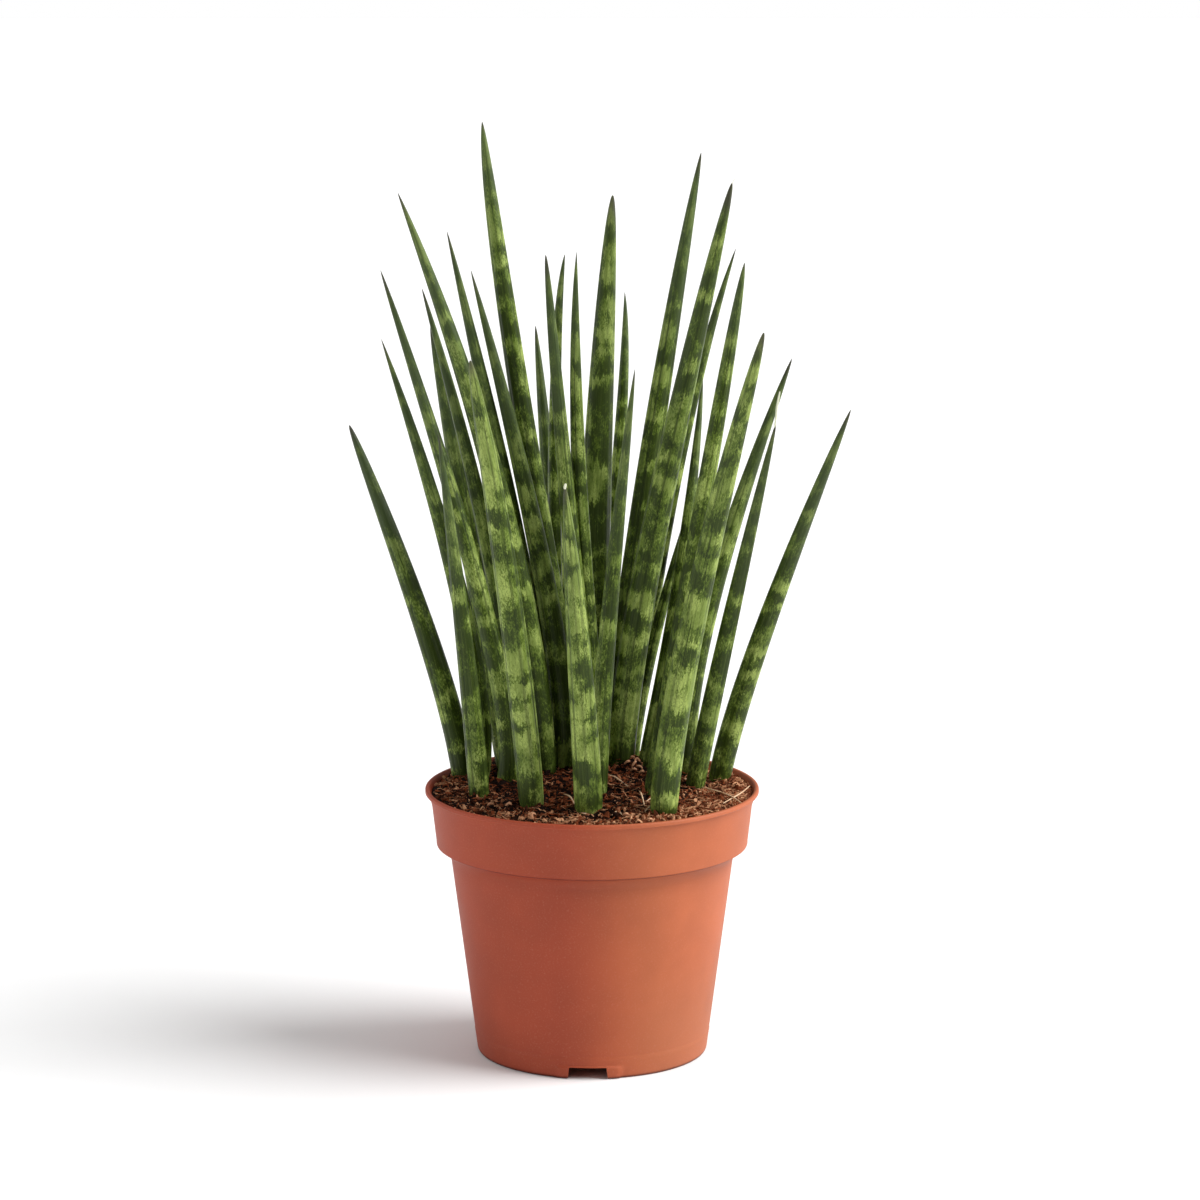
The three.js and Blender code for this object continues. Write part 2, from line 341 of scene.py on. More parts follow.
def hand_over(piece, slot, *nodes):
    """Rides a finished piece on the plant's body and hides the nodes it replaces. The slot is
    not used.
    """
    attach(piece, BODY)
    if nodes:
        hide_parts(*nodes)
    return piece


def linear(red, green, blue):
    """A display colour of 0 to 255 as scene-linear values."""
    def channel(value):
        share = value / 255
        return share / 12.92 if share <= 0.04045 else ((share + 0.055) / 1.055) ** 2.4

    return tuple(channel(value) for value in (red, green, blue))


# ---- settings ----
def colour(name, description, *display):
    return FloatVectorProperty(
        name=name, description=description, default=linear(*display),
        subtype="COLOR", min=0.0, max=1.0,
    )


def count(name, description, default, low, high):
    return IntProperty(
        name=name, description=description, default=default, min=low, max=high
    )


def amount(name, description, default, **limits):
    """A number that is never negative."""
    return FloatProperty(
        name=name, description=description, default=default, min=0.0, **limits
    )


class LeafSettings(bpy.types.PropertyGroup):
    """Sizes and colours of the leaves."""

    sides: count("Sides", "Faces round a leaf", 64, 8, 96)
    steps: count("Steps", "Rings along a leaf", 104, 16, 160)
    grooves: count("Grooves", "Lengthwise grooves round a leaf", 7, 0, 16)
    groove_depth: amount(
        "Groove depth", "Depth of a groove, as a share of the radius", 0.05,
        max=0.3, subtype="FACTOR",
    )
    pale: colour("Pale patches", "Skin between the bands", 165, 183, 96)
    green: colour("Green", "Skin of the leaf's middle tone", 88, 108, 36)
    dark: colour("Dark bands", "Skin of the dark bands", 34, 47, 10)
    old: colour("Old skin", "Weathered skin towards the tips", 70, 83, 52)
    tip: colour("Tips", "Hard skin at the very tip", 70, 66, 58)
    dry: colour("Dry ends", "Withered pale ends", 226, 226, 204)


class SoilSettings(bpy.types.PropertyGroup):
    """Sizes and colours of the potting mix."""

    sides: count("Sides", "Faces round the surface", 300, 24, 600)
    rings: count("Rings", "Rings across the surface", 120, 8, 300)
    crumbs: amount("Crumbs", "Crumbs on each square centimetre", 44.0)
    crumb_size: amount("Crumb size", "Radius of a common crumb", 0.00075, unit="LENGTH")
    fibres: amount("Fibres", "Coir fibres on each square centimetre", 9.0)
    shreds: amount("Shreds", "Short thick shreds on each square centimetre", 38.0)
    dark: colour("Dark", "Wet peat in the hollows", 26, 10, 5)
    brown: colour("Brown", "Common crumbs", 138, 72, 40)
    light: colour("Light", "Dry chips", 216, 160, 120)
    straw: colour("Straw", "Dry root and coir strands", 226, 196, 160)


class PotSettings(bpy.types.PropertyGroup):
    """Sizes and colours of the pot."""

    sides: count("Sides", "Faces round the pot", 240, 24, 480)
    notches: count("Notches", "Drainage notches in the foot", 3, 1, 12)
    notch_wide: amount("Notch width", "Width of a notch", 0.0132, unit="LENGTH")
    notch_tall: amount("Notch height", "Height of a notch", 0.0044, unit="LENGTH")
    drain_radius: amount("Drain radius", "Radius of a drain hole", 0.004, unit="LENGTH")
    plastic: colour("Plastic", "Terracotta-coloured plastic", 162, 69, 43)
    # The right side's colour is painted sheen: lighter, paler plastic where the key light
    # falls.
    painted_sheen: colour("Faded plastic", "Plastic on the side that faded", 180, 97, 61)


class StudioSettings(bpy.types.PropertyGroup):
    """Floor, light and camera."""

    floor: colour("Floor", "Plain pale floor", 244, 244, 244)
    key_power: amount("Key light", "Strength of the light from the right", 4.2)
    left_power: amount("Left light", "Strength of the low light from the front left", 0.55)
    fill_front: amount("Front fill", "Brightness of the surroundings in front", 0.06)
    fill_top: amount("Top fill", "Brightness of the surroundings overhead", 0.5)
    fill_side: amount("Side fill", "Brightness of the surroundings at both sides", 0.9)
    fill_back: amount("Back fill", "Brightness of the surroundings behind", 0.4)
    camera_at: FloatVectorProperty(
        name="Camera", description="Place of the camera",
        default=(0.002856, -1.5771, 0.4685), subtype="TRANSLATION", unit="LENGTH",
    )
    camera_tilt: FloatProperty(
        name="Tilt", description="How far the camera looks down",
        default=math.radians(10.888), subtype="ANGLE",
    )
    lens: amount("Lens", "Focal length in millimetres", 135.0)


# ---- leaves ----
def ring_centre(ring):
    return sum(ring, Vector()) / len(ring)


def ring_radius(ring):
    centre = ring_centre(ring)
    return max((point - centre).length for point in ring)


def swell(share):
    """How full a leaf is at a share of its curve, before its own power is applied."""
    return 1 - share ** TAPER_START


def leaf_form(name):
    """A leaf's foot, knee, tip, girth and point, recovered from the rings of its solid."""
    solid = bmesh.new()
    solid.from_mesh(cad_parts[name].data)
    bmesh.ops.remove_doubles(solid, verts=solid.verts, dist=SAME_PLACE)
    tip = max(solid.verts, key=lambda vert: vert.co.z)
    seen = {tip}
    front = {tip}
    rings = {}
    for share in RING_SHARES:
        front = {edge.other_vert(vert) for vert in front for edge in vert.link_edges} - seen
        seen |= front
        rings[share] = [vert.co.copy() for vert in front]
    tip = tip.co.copy()
    solid.free()
    foot = ring_centre(rings[0.0])
    middle, full, thin = 0.43, 0.57, 0.9
    ends = foot * (1 - middle) ** 2 + tip * middle ** 2
    knee = (ring_centre(rings[middle]) - ends) / (2 * middle * (1 - middle))
    thinning = ring_radius(rings[thin]) / ring_radius(rings[full])
    point = math.log(thinning) / math.log(swell(thin) / swell(full))
    girth = 2 * ring_radius(rings[full]) / swell(full) ** point
    return {"Foot": foot, "Knee": knee, "Tip": tip, "Girth": girth, "Point": point}


def leaf_profile(shape):
    """The leaf's round section of radius 1, with fine grooves at uneven steps."""
    sides, seed = shape.size("Sides"), shape.size("Seed")
    spot = shape.node("GeometryNodeInputPosition")
    circle = shape.store(shape.circle(sides), "round", spot, "FLOAT_VECTOR")
    turn = shape.index() / sides * shape.size("Grooves")
    cell = shape.math("FLOOR", turn)
    middle = shape.random(0.22, 0.78, seed, cell)
    gap = shape.math("ABSOLUTE", shape.math("FRACT", turn) - middle)
    groove = 1 - shape.ramp(gap, 0.04, 0.16)
    groove = groove * shape.random(0.3, 1.0, seed + 1, cell)
    circle = shape.store(circle, "groove", groove)
    return shape.moved(circle, Position=shape.scaled(spot, 1 - groove * shape.size("Depth")))


def leaf_tree(material):
    """A round leaf swept along its curve, with its skin's coordinates in millimetres."""
    shape = Shape(
        "round leaf", Foot="place", Knee="place", Tip="place", Girth="number",
        Point="number", Sides="count", Steps="count", Grooves="count", Depth="number",
        Seed="count", Shade="number", Age="number",
    )
    steps = shape.size("Steps")
    line = shape.node("GeometryNodeMeshLine", None, {"Count": steps})
    line = shape.node("GeometryNodeMeshToCurve", None, {"Mesh": line})
    # The first rows run straight down into the mix, the rest along the curve.
    row = shape.index() - BURIED_ROWS
    climb = shape.math("MAXIMUM", row, 0.0) / (steps - 1 - BURIED_ROWS)
    share = 1 - (1 - climb) ** 1.5
    rest = 1 - share
    foot, knee, tip = shape.size("Foot"), shape.size("Knee"), shape.size("Tip")
    ends = shape.vector(
        "ADD", shape.scaled(foot, rest * rest), shape.scaled(tip, share * share)
    )
    path = shape.vector("ADD", ends, shape.scaled(knee, 2 * share * rest))
    heading = shape.vector("NORMALIZE", shape.vector("SUBTRACT", knee, foot))
    depth = shape.math("MAXIMUM", 0 - row, 0.0) * (BURIED / BURIED_ROWS)
    path = shape.vector("SUBTRACT", path, shape.scaled(heading, depth))
    line = shape.moved(line, Position=path)
    fullness = (1 - share ** TAPER_START) ** shape.size("Point")
    neck = 1 - NECK * shape.math("EXPONENT", 0 - share / NECK_REACH)
    radius = shape.size("Girth") / 2 * fullness * neck
    line = shape.store(line, "reach", share)
    length = shape.node("GeometryNodeSplineParameter", None, None, "Length")
    line = shape.store(line, "along", (length - BURIED) / MM)
    leaf = shape.tube(line, leaf_profile(shape), Scale=radius)
    sockets = {"Geometry": leaf, "Distance": SAME_PLACE}
    leaf = shape.node("GeometryNodeMergeByDistance", None, sockets)
    around = shape.scaled(shape.read("round", "FLOAT_VECTOR"), shape.size("Girth") / 2 / MM)
    skin = shape.vector("ADD", around, shape.joined(0.0, 0.0, shape.read("along")))
    far = shape.size("Seed") * LEAVES_APART
    skin = shape.vector("ADD", skin, shape.joined(far, 0.0, far))
    leaf = shape.store(leaf, "skin", skin, "FLOAT_VECTOR")
    leaf = shape.store(leaf, "shade", shape.size("Shade"))
    leaf = shape.store(leaf, "age", shape.size("Age"))
    leaf = shape.node("GeometryNodeSetShadeSmooth", None, {"Geometry": leaf})
    return shape.finish(leaf, material)


def leaf_skin(colors):
    """Waxy green skin: jagged cross-bands, fine streaks, dark grooves, a dry tip and painted
    shade at the base.
    """
    skin = Finish("banded leaf skin")
    x, y, along = skin.parts(skin.attribute("skin", "Vector"))
    reach, shade = skin.attribute("reach"), skin.attribute("shade")

    def stretched(across, lengthwise, drift=0.0, **texture):
        place = skin.joined(x * across, y * across, along * lengthwise + drift)
        return skin.noise(place, **texture)

    # Cross-bands, pushed up and down by broad flames and fine teeth.
    flame = stretched(0.6, 0.2, roughness=0.6) - 0.5
    tooth = stretched(1.7, 0.7, detail=4.0, roughness=0.65) - 0.5
    shifted = along + flame * 9.0 + tooth * 5.0
    bands = skin.noise(skin.joined(x * 0.08, y * 0.08, shifted * BANDS_PER_MM))
    fleck = stretched(1.9, 1.0, detail=4.0, roughness=0.7)
    # A leaf's shade makes its skin darker or lighter: partly its own tone, partly painted
    # shade.
    level = bands + (fleck - 0.5) * 0.55 + (shade - COMMON_SHADE) * 0.2
    dark = skin.ramp(level, 0.49, 0.59)
    pale = 1 - skin.ramp(level, 0.39, 0.5)
    patch = skin.ramp(stretched(0.3, 0.07, 37.0), 0.38, 0.6)
    mark = skin.ramp(stretched(1.9, 0.7, 53.0, roughness=0.6), 0.5, 0.6)
    pale = pale * (0.35 + 0.65 * patch) * (1 - 0.45 * mark)
    curl = stretched(1.2, 0.55, 71.0, roughness=0.6)
    outline = 1 - skin.ramp(skin.math("ABSOLUTE", curl - 0.5), 0.006, 0.03)
    color = skin.blend(pale, colors.green, colors.pale)
    color = skin.blend(dark * 0.82, color, colors.dark)
    color = skin.blend(outline * patch * 0.55, color, colors.dark)
    # Streaks, wandering creases and grooves that run lengthwise.
    streak = stretched(5.5, 0.06, roughness=0.6)
    color = skin.blend(skin.ramp(streak, 0.5, 0.8) * 0.4, color, colors.dark)
    color = skin.blend(skin.ramp(streak, 0.5, 0.2) * 0.2, color, colors.pale)
    vein = skin.math("ABSOLUTE", stretched(0.55, 0.006, detail=1.0) - 0.5)
    faint = skin.ramp(stretched(0.3, 0.04, 91.0, detail=1.0), 0.42, 0.58)
    crease = (1 - skin.ramp(vein, 0.002, 0.012)) * faint
    color = skin.blend(crease * 0.8, color, colors.dark)
    color = skin.blend(skin.attribute("groove") * 0.7, color, colors.dark)
    # Weathered upper half, painted shade at the base and hard dry tip.
    aging = skin.ramp(reach + flame * 0.15, 0.58, 0.92) * skin.attribute("age")
    color = skin.blend(aging * 0.8, color, colors.old)
    base = 1 - skin.ramp(reach + flame * 0.04, 0.0, 0.07)
    color = skin.blend(base * 0.45, color, colors.dark)
    dry = skin.ramp(reach + tooth * 0.05, 0.95, 1.0)
    color = skin.blend(dry * 0.85, color, colors.tip)
    bump = skin.bump(streak * 0.5 - crease * 0.6 + flame * 0.3, 0.25, 0.00025)
    rough = 0.36 + 0.14 * patch - 0.05 * dark
    return skin.surface(color, rough, bump, **{"Specular IOR Level": 0.17})


# How dark a leaf's skin is, where it isn't common, partly its own tone and partly painted
# shade for leaves in the others' shade; and the leaves that are still young.
SHADES = {
    "leaf_01": 0.9, "leaf_02": 0.7, "leaf_03": 0.6, "leaf_04": 0.7, "leaf_09": 0.35,
    "leaf_11": 0.55, "leaf_18": 0.6, "leaf_19": 0.3, "leaf_20": 0.7, "leaf_21": 0.6,
    "leaf_25": 0.6, "leaf_26": 0.35, "leaf_28": 0.6, "leaf_29": 0.6,
}
YOUNG = {"leaf_09", "leaf_16", "leaf_19", "leaf_21", "leaf_26"}


class PLANT_OT_leaves(bpy.types.Operator):
    """Grow the round leaves along their curves"""

    bl_idname = "plant.leaves"
    bl_label = "Leaves"

    def execute(self, context):
        settings = context.scene.plant_leaf
        tree = leaf_tree(leaf_skin(settings))
        for number, name in enumerate(LEAVES, 1):
            leaf = add_object(f"round_{name}", bpy.data.meshes.new(name))
            grow(
                leaf, tree, Sides=settings.sides, Steps=settings.steps,
                Grooves=settings.grooves, Depth=settings.groove_depth, Seed=number,
                Shade=SHADES.get(name, COMMON_SHADE),
                Age=YOUNG_AGE if name in YOUNG else COMMON_AGE, **leaf_form(name),
            )
            hand_over(leaf, "leaf", name)
        return {"FINISHED"}


# ---- potting mix ----
@functools.cache
def leaf_feet():
    """Each leaf's foot as x, y and radius, in millimetres."""
    feet = []
    for form in map(leaf_form, LEAVES):
        foot = form["Foot"]
        feet.append((foot.x / MM, foot.y / MM, form["Girth"] / 2 / MM))
    return feet


def heap(x, y):
    """How far the mix is pressed up against the leaves, in millimetres."""
    gap = min(math.hypot(x - at_x, y - at_y) - radius for at_x, at_y, radius in leaf_feet())
    return HEAP_HIGH * math.exp(-((max(0.0, gap) / HEAP_WIDE) ** 2))


def soil_level(x, y):
    """Height of the smooth mound, in millimetres."""
    share = math.hypot(x, y) / SOIL_EDGE_R
    level = SOIL_EDGE_Z + SOIL_MOUND * max(0.0, 1 - share * share)
    clump = math.hypot(x - CLUMP_AT[0], y - CLUMP_AT[1]) / CLUMP_R
    return level + CLUMP_HIGH * max(0.0, 1 - clump * clump)


def soil_height(x, y):
    """Height of the lumpy surface, in millimetres."""
    rough = 1.5 * noise.fractal(Vector((x, y, 0)) / 9.0, 1.0, 2.0, 3)
    lumps = 1.3 * (noise.noise(Vector((x, y, 40)) / 2.6) + 0.1)
    grains = 0.45 * noise.noise(Vector((x, y, 80)) / 0.9)
    edge = min(1.0, (SOIL_EDGE_R + 1.5 - math.hypot(x, y)) / 8)
    return soil_level(x, y) + heap(x, y) + (rough + lumps) * edge + grains - 0.4


def turned(section, sides):
    """An open surface turned from a section of (radius, height) pairs."""
    turns = [2 * math.pi * side / sides for side in range(sides)]
    points = [
        (radius * math.cos(turn), radius * math.sin(turn), height)
        for radius, height in section for turn in turns
    ]
    faces = []
    for low in range(0, len(points) - sides, sides):
        high = low + sides
        for side in range(sides):
            after = (side + 1) % sides
            faces.append((low + side, low + after, high + after, high + side))
    return points, faces


def revolved(section, sides):
    """A closed solid: a section turned up its outside, with both ends closed on the axis."""
    points, faces = turned(section, sides)
    last = (len(section) - 1) * sides
    bottom, top = len(points), len(points) + 1
    points += [(0, 0, section[0][1]), (0, 0, section[-1][1])]
    faces += [(bottom, (side + 1) % sides, side) for side in range(sides)]
    faces += [(top, last + side, last + (side + 1) % sides) for side in range(sides)]
    return points, faces


def soil_rings(reach, rings):
    """Even rings from a reach towards the axis, as a level section."""
    return [(reach * (1 - ring / rings), SOIL_EDGE_Z) for ring in range(rings)]


def laid_on_soil(points):
    return [(x, y, soil_height(x, y)) for x, y, _ in points]


def soil_mesh(settings):
    """The mix that fills the pot: its lumpy surface, its wall and its base."""
    wall = [(40.0, SOIL_FLOOR), (49.3, 70.5), (54.6, 78.3), (56.2, 91.0), (56.9, 92.6)]
    points, faces = revolved(wall + soil_rings(SOIL_EDGE_R, settings.rings), settings.sides)
    first, bottom = len(wall) * settings.sides, points[-2]
    points[first:] = laid_on_soil(points[first:])
    points[-2] = bottom
    return points, faces


def soil_surface(margin, rings=60, sides=150):
    """The bare surface that pieces are strewn on, out to a margin inside the pot's wall."""
    points, faces = turned(soil_rings(SOIL_EDGE_R - margin, rings), sides)
    return laid_on_soil(points), faces


def mix_finish(name, settings, dry):
    """Damp peat and coir, from near black to dry brown chips, lighter at the rim and on the
    right and darker among the leaves: partly drier mix, partly painted light and shade.
    """
    mix = Finish(name)
    place = mix.place()
    x, y, _ = mix.parts(place)
    # Partly drier mix and partly painted light and shade: lighter towards the rim and towards
    # the right side, where the light falls, and darker in the middle among the leaves.
    rim = mix.ramp((x * x + y * y) ** 0.5, 30.0, 54.0)
    dry = dry + rim * 0.3 + mix.ramp(x, -35.0, 45.0) * 0.24 - 0.32
    tone = mix.attribute("tone")
    broad = mix.noise(place, 0.09, 3.0)
    grain = mix.noise(place, 0.9, 4.0, 0.65)
    fine = mix.noise(place, 4.5, 3.0, 0.7)
    level = tone * 0.95 + broad * 0.4 + grain * 0.4 - 0.42 + dry
    color = mix.blend(mix.ramp(level, 0.15, 0.62), settings.dark, settings.brown)
    color = mix.blend(mix.ramp(level, 0.66, 1.0), color, settings.light)
    color = mix.blend(mix.ramp(fine, 0.55, 0.3) * 0.4, color, settings.dark)
    bump = mix.bump(fine * 0.6 + grain, 0.7, 0.0006)
    return mix.surface(color, 0.78 + 0.18 * fine, bump, **{"Specular IOR Level": 0.12})


class PLANT_OT_potting_mix(bpy.types.Operator):
    """Fill the pot with potting mix"""

    bl_idname = "plant.potting_mix"
    bl_label = "Potting mix"

    def execute(self, context):
        settings = context.scene.plant_soil
        mix = add_mesh("potting_mix", *soil_mesh(settings))
        mix.data.materials.append(mix_finish("damp mix", settings, 0.22))
        mix.data.shade_smooth()
        hand_over(mix, "soil", "soil")
        return {"FINISHED"}


def strewn(shape, kinds, lift, turn, scale, material):
    """The tree's result: pieces of some kinds strewn over the input, each with a tone."""
    seed, density = shape.size("Seed"), shape.size("Density")
    sockets = {"Mesh": shape.size("Geometry"), "Density": density, "Seed": seed}
    settings = {"distribute_method": "RANDOM"}
    points = shape.node("GeometryNodeDistributePointsOnFaces", settings, sockets)
    points = shape.moved(points, Offset=shape.joined(0.0, 0.0, lift))
    single = "GeometryNodeGeometryToInstance"
    kinds = [shape.node(single, None, {"Geometry": kind}) for kind in kinds]
    sockets = {
        "Points": points, "Instance": shape.merged(*kinds), "Pick Instance": True,
        "Rotation": turn, "Scale": scale,
    }
    pieces = shape.node("GeometryNodeInstanceOnPoints", None, sockets)
    pieces = shape.store(pieces, "tone", shape.random(0.0, 1.0, seed + 5), domain="INSTANCE")
    return shape.finish(pieces, material)


def crumb_tree(material):
    """Angular crumbs of a few kinds, half sunk in the surface that they are strewn on."""
    shape = Shape("coir crumbs", Density="number", Size="number", Seed="count")
    seed = shape.size("Seed")
    kinds = []
    plain = {"Radius": 1.0, "Subdivisions": 1}
    for kind in range(4):
        ball = shape.node("GeometryNodeMeshIcoSphere", None, plain)
        dent = shape.random_vector((-0.38,) * 3, (0.38,) * 3, 11 + kind)
        kinds.append(shape.moved(ball, Offset=dent))
    girth = 0.35 + 1.5 * shape.random(0.0, 1.0, seed + 1) ** 2.2
    form = shape.random_vector((0.55, 0.4, 0.35), (1.5, 0.9, 0.8), seed + 2)
    turn = shape.random_vector((0.0,) * 3, (math.tau,) * 3, seed + 3)
    lift = shape.random(-0.3, 0.5, seed + 4) * shape.size("Size")
    scale = shape.scaled(form, girth * shape.size("Size"))
    return strewn(shape, kinds, lift, turn, scale, material)


def fibre_tree(material):
    """Short curled fibres that lie on the surface in all directions."""
    shape = Shape(
        "coir fibres", Density="number", Size="number", Thickness="number", Seed="count",
        Curl="number",
    )
    seed = shape.size("Seed")
    kinds = []
    rim = shape.circle(3, shape.size("Thickness"))
    ends = {0: (-0.5, 0.0, 0.0), 1: (0.5, 0.0, 0.0)}
    spot = shape.node("GeometryNodeInputPosition")
    for kind in range(6):
        line = shape.node("GeometryNodeCurvePrimitiveLine", None, ends)
        line = shape.node("GeometryNodeResampleCurve", None, {"Curve": line, "Count": 7})
        here = shape.vector("ADD", spot, (3.7 * kind, 1, 2))
        wave = shape.noise(here, 2.2, 1.0, out="Color")
        wave = shape.vector("SUBTRACT", wave, (0.5, 0.5, 0.5))
        wave = shape.vector("MULTIPLY", wave, (0.6, 1.6, 0.6))
        line = shape.moved(line, Offset=shape.scaled(wave, shape.size("Curl")))
        kinds.append(shape.tube(line, rim))
    size = shape.size("Size") * (0.4 + 1.2 * shape.random(0.0, 1.0, seed + 1) ** 1.5)
    turn = shape.random_vector((-0.3, -0.3, 0.0), (0.3, 0.3, math.tau), seed + 3)
    lift = shape.random(0.0, 0.9, seed + 4) * MM
    return strewn(shape, kinds, lift, turn, shape.joined(size, size, size), material)


class PLANT_OT_crumbs(bpy.types.Operator):
    """Strew crumbs and fibres over the potting mix"""

    bl_idname = "plant.crumbs"
    bl_label = "Crumbs and fibres"

    def execute(self, context):
        settings = context.scene.plant_soil
        dense, grain = settings.crumbs * PER_SQUARE_METRE, settings.crumb_size
        fibres = settings.fibres * PER_SQUARE_METRE
        shreds = settings.shreds * PER_SQUARE_METRE
        grains = crumb_tree(mix_finish("crumb mix", settings, 0.1))
        threads = fibre_tree(mix_finish("fibre mix", settings, 0.24))
        for name, margin, tree, density, size, seed, others in (
            ("coir_crumbs", 0.4, grains, dense, grain, 5, {}),
            ("coir_chips", 2.5, grains, dense * 0.06, grain * 1.4, 25, {}),
            ("coir_fibres", 4.5, threads, fibres, 0.0055, 45, dict(Thickness=0.02, Curl=1.1)),
            ("coir_shreds", 2.0, threads, shreds, 0.0026, 65, dict(Thickness=0.07, Curl=0.6)),
        ):
            pieces = add_mesh(name, *soil_surface(margin))
            grow(pieces, tree, Density=density, Size=size, Seed=seed, **others)
            hand_over(pieces, "soil")
        return {"FINISHED"}


# Pale strands that lie on the mix: (x, y, rise above the mound) in millimetres.
STRANDS = (
    ((4, 4.8, 0.6), (7.5, -1.5, 1.6), (10, -7, 1.4), (13, -12.5, 0.5)),
    ((-10, -22, 0.5), (-7.5, -32, 2.2), (-5, -40.5, 0.4)),
    ((16.5, -16, 0.5), (17.5, -26, 1.8), (18.5, -35, 0.5)),
    ((19, -30.5, 0.5), (22.5, -25, 1.6), (25.5, -16, 1.9), (30, -7.5, 0.4)),
    ((31.5, 0.5, 0.5), (35.5, 3, 1.2), (39, 8, 0.5)),
    ((46, -26, 0.4), (53, -13, 1.4), (57, 4, 0.6)),
    ((36, -5.5, 0.5), (42, -12, 1.5), (49, -18.5, 1.6), (54, -26, 0.5)),
    ((-19.5, 50, 0.6), (-15.5, 54, 1.5)),
    ((-5, -42.5, 0.6), (-2.5, -46, 0.9), (-0.5, -43, 0.6)),
    ((7, -46.5, 0.6), (9, -43.5, 1.1), (10.5, -45.5, 0.5)),
    ((18, -43.5, 0.5), (21, -38, 1.6), (24, -35.5, 0.5)),
)

# Short thick flakes of coir husk, given like the strands.
FLAKES = (
    ((13.8, 12.6, 0.3), (15.0, 12.2, 1.5), (16.2, 12.8, 0.9)),
    ((16.0, 15.0, 0.6), (17.2, 14.4, 1.7), (18.2, 15.2, 0.6)),
    ((17.0, 10.0, 0.3), (18.1, 9.4, 1.4), (18.8, 10.6, 0.6)),
    ((11.6, 15.4, 0.5), (12.8, 15.0, 1.8), (13.8, 16.2, 1.1)),
    ((13.0, 18.6, 0.6), (14.6, 18.0, 2.0), (15.6, 19.0, 1.2)),
    ((15.4, 17.4, 1.0), (16.4, 18.2, 1.9), (17.8, 17.8, 0.7)),
    ((11.0, 19.8, 0.5), (11.9, 20.6, 1.7), (13.3, 20.4, 1.5)),
    ((14.4, 14.0, 0.8), (15.4, 14.8, 2.0), (16.0, 16.2, 1.6)),
    ((10.8, -46.4, 0.4), (11.9, -47.2, 1.5), (13.2, -46.6, 0.7)),
    ((19.2, -49.4, 0.3), (20.2, -50.0, 0.9), (21.2, -49.2, 0.4)),
    ((-30.4, -34.2, 0.4), (-29.2, -33.8, 1.7), (-28.2, -35.0, 1.4)),
    ((-36.8, -31.4, 0.5), (-35.8, -32.0, 1.4), (-34.6, -31.2, 0.7)),
    ((-22.0, -44.6, 0.5), (-20.8, -45.2, 1.2), (-19.6, -44.4, 0.6)),
)

# Dry ends of a few leaves: thickness, then a path from the leaf's tip, in millimetres.
DRY_ENDS = {
    "leaf_19": (0.5, ((0.0, 0.3, -1.5), (0.1, 0.0, -0.3), (0.3, -0.1, 0.5))),
    "leaf_21": (0.12, ((-0.1, 0.0, -0.8), (0.5, 0.0, 0.7), (1.4, 0.0, 1.5))),
    "leaf_28": (
        0.42, ((-0.5, 0.0, -1.8), (0.0, 0.0, 2.5), (0.3, 0.0, 6.0), (1.2, 0.0, 11.0)),
    ),
}


def strand_tree(material):
    """Round strands along the input's edges, thinner towards their ends."""
    shape = Shape("pale strands", Thickness="number")
    line = shape.node("GeometryNodeMeshToCurve", None, {"Mesh": shape.size("Geometry")})
    settings = {"spline_type": "CATMULL_ROM"}
    line = shape.node("GeometryNodeCurveSplineType", settings, {0: line})
    line = shape.node("GeometryNodeResampleCurve", None, {"Curve": line, "Count": 22})
    share = shape.node("GeometryNodeSplineParameter")
    taper = (share * (1 - share) * 4) ** 0.35 * 0.8 + 0.2
    strand = shape.tube(line, shape.circle(5), Scale=taper * shape.size("Thickness"))
    strand = shape.node("GeometryNodeSetShadeSmooth", None, {"Geometry": strand})
    return shape.finish(strand, material)


def straw_finish(name, pale, warm, dark):
    """Dry papery strands."""
    straw = Finish(name)
    place = straw.place()
    patch = straw.noise(place, 0.5, 2.0)
    grain = straw.noise(place, 5.0, 2.0)
    color = straw.blend(straw.ramp(patch, 0.4, 0.75) * 0.7, pale, warm)
    color = straw.blend(grain * 0.25, color, dark)
    return straw.surface(color, 0.6 + 0.2 * grain, straw.bump(grain, 0.3, 0.0001))


class PLANT_OT_strands(bpy.types.Operator):
    """Lay pale strands over the potting mix"""

    bl_idname = "plant.strands"
    bl_label = "Pale strands"

    def execute(self, context):
        settings = context.scene.plant_soil
        straw = straw_finish("dry straw", settings.straw, settings.light, settings.brown)
        husk = straw_finish("dry husk", settings.light, settings.brown, settings.brown)
        for name, paths, thickness, finish in (
            ("pale_strands", STRANDS, 0.28, straw), ("coir_flakes", FLAKES, 0.5, husk),
        ):
            tree = strand_tree(finish)
            points, edges = [], []
            for path in paths:
                for step, (x, y, rise) in enumerate(path):
                    if step:
                        edges.append((len(points) - 1, len(points)))
                    points.append((x, y, soil_level(x, y) + rise))
            strands = add_mesh(name, points, edges=edges)
            grow(strands, tree, Thickness=thickness * MM)
            hand_over(strands, "soil")
        return {"FINISHED"}


class PLANT_OT_dry_ends(bpy.types.Operator):
    """Add the withered ends of a few leaves"""

    bl_idname = "plant.dry_ends"
    bl_label = "Dry ends"

    def execute(self, context):
        settings = context.scene.plant_leaf
        finish = straw_finish("dry leaf end", settings.dry, settings.dry, settings.pale)
        tree = strand_tree(finish)
        for name, (thickness, path) in DRY_ENDS.items():
            tip = leaf_form(name)["Tip"] / MM
            points = [tuple(tip + Vector(step)) for step in path]
            edges = [(step, step + 1) for step in range(len(path) - 1)]
            end = add_mesh(f"dry_end_{name}", points, edges=edges)
            grow(end, tree, Thickness=thickness * MM)
            hand_over(end, "leaf")
        return {"FINISHED"}


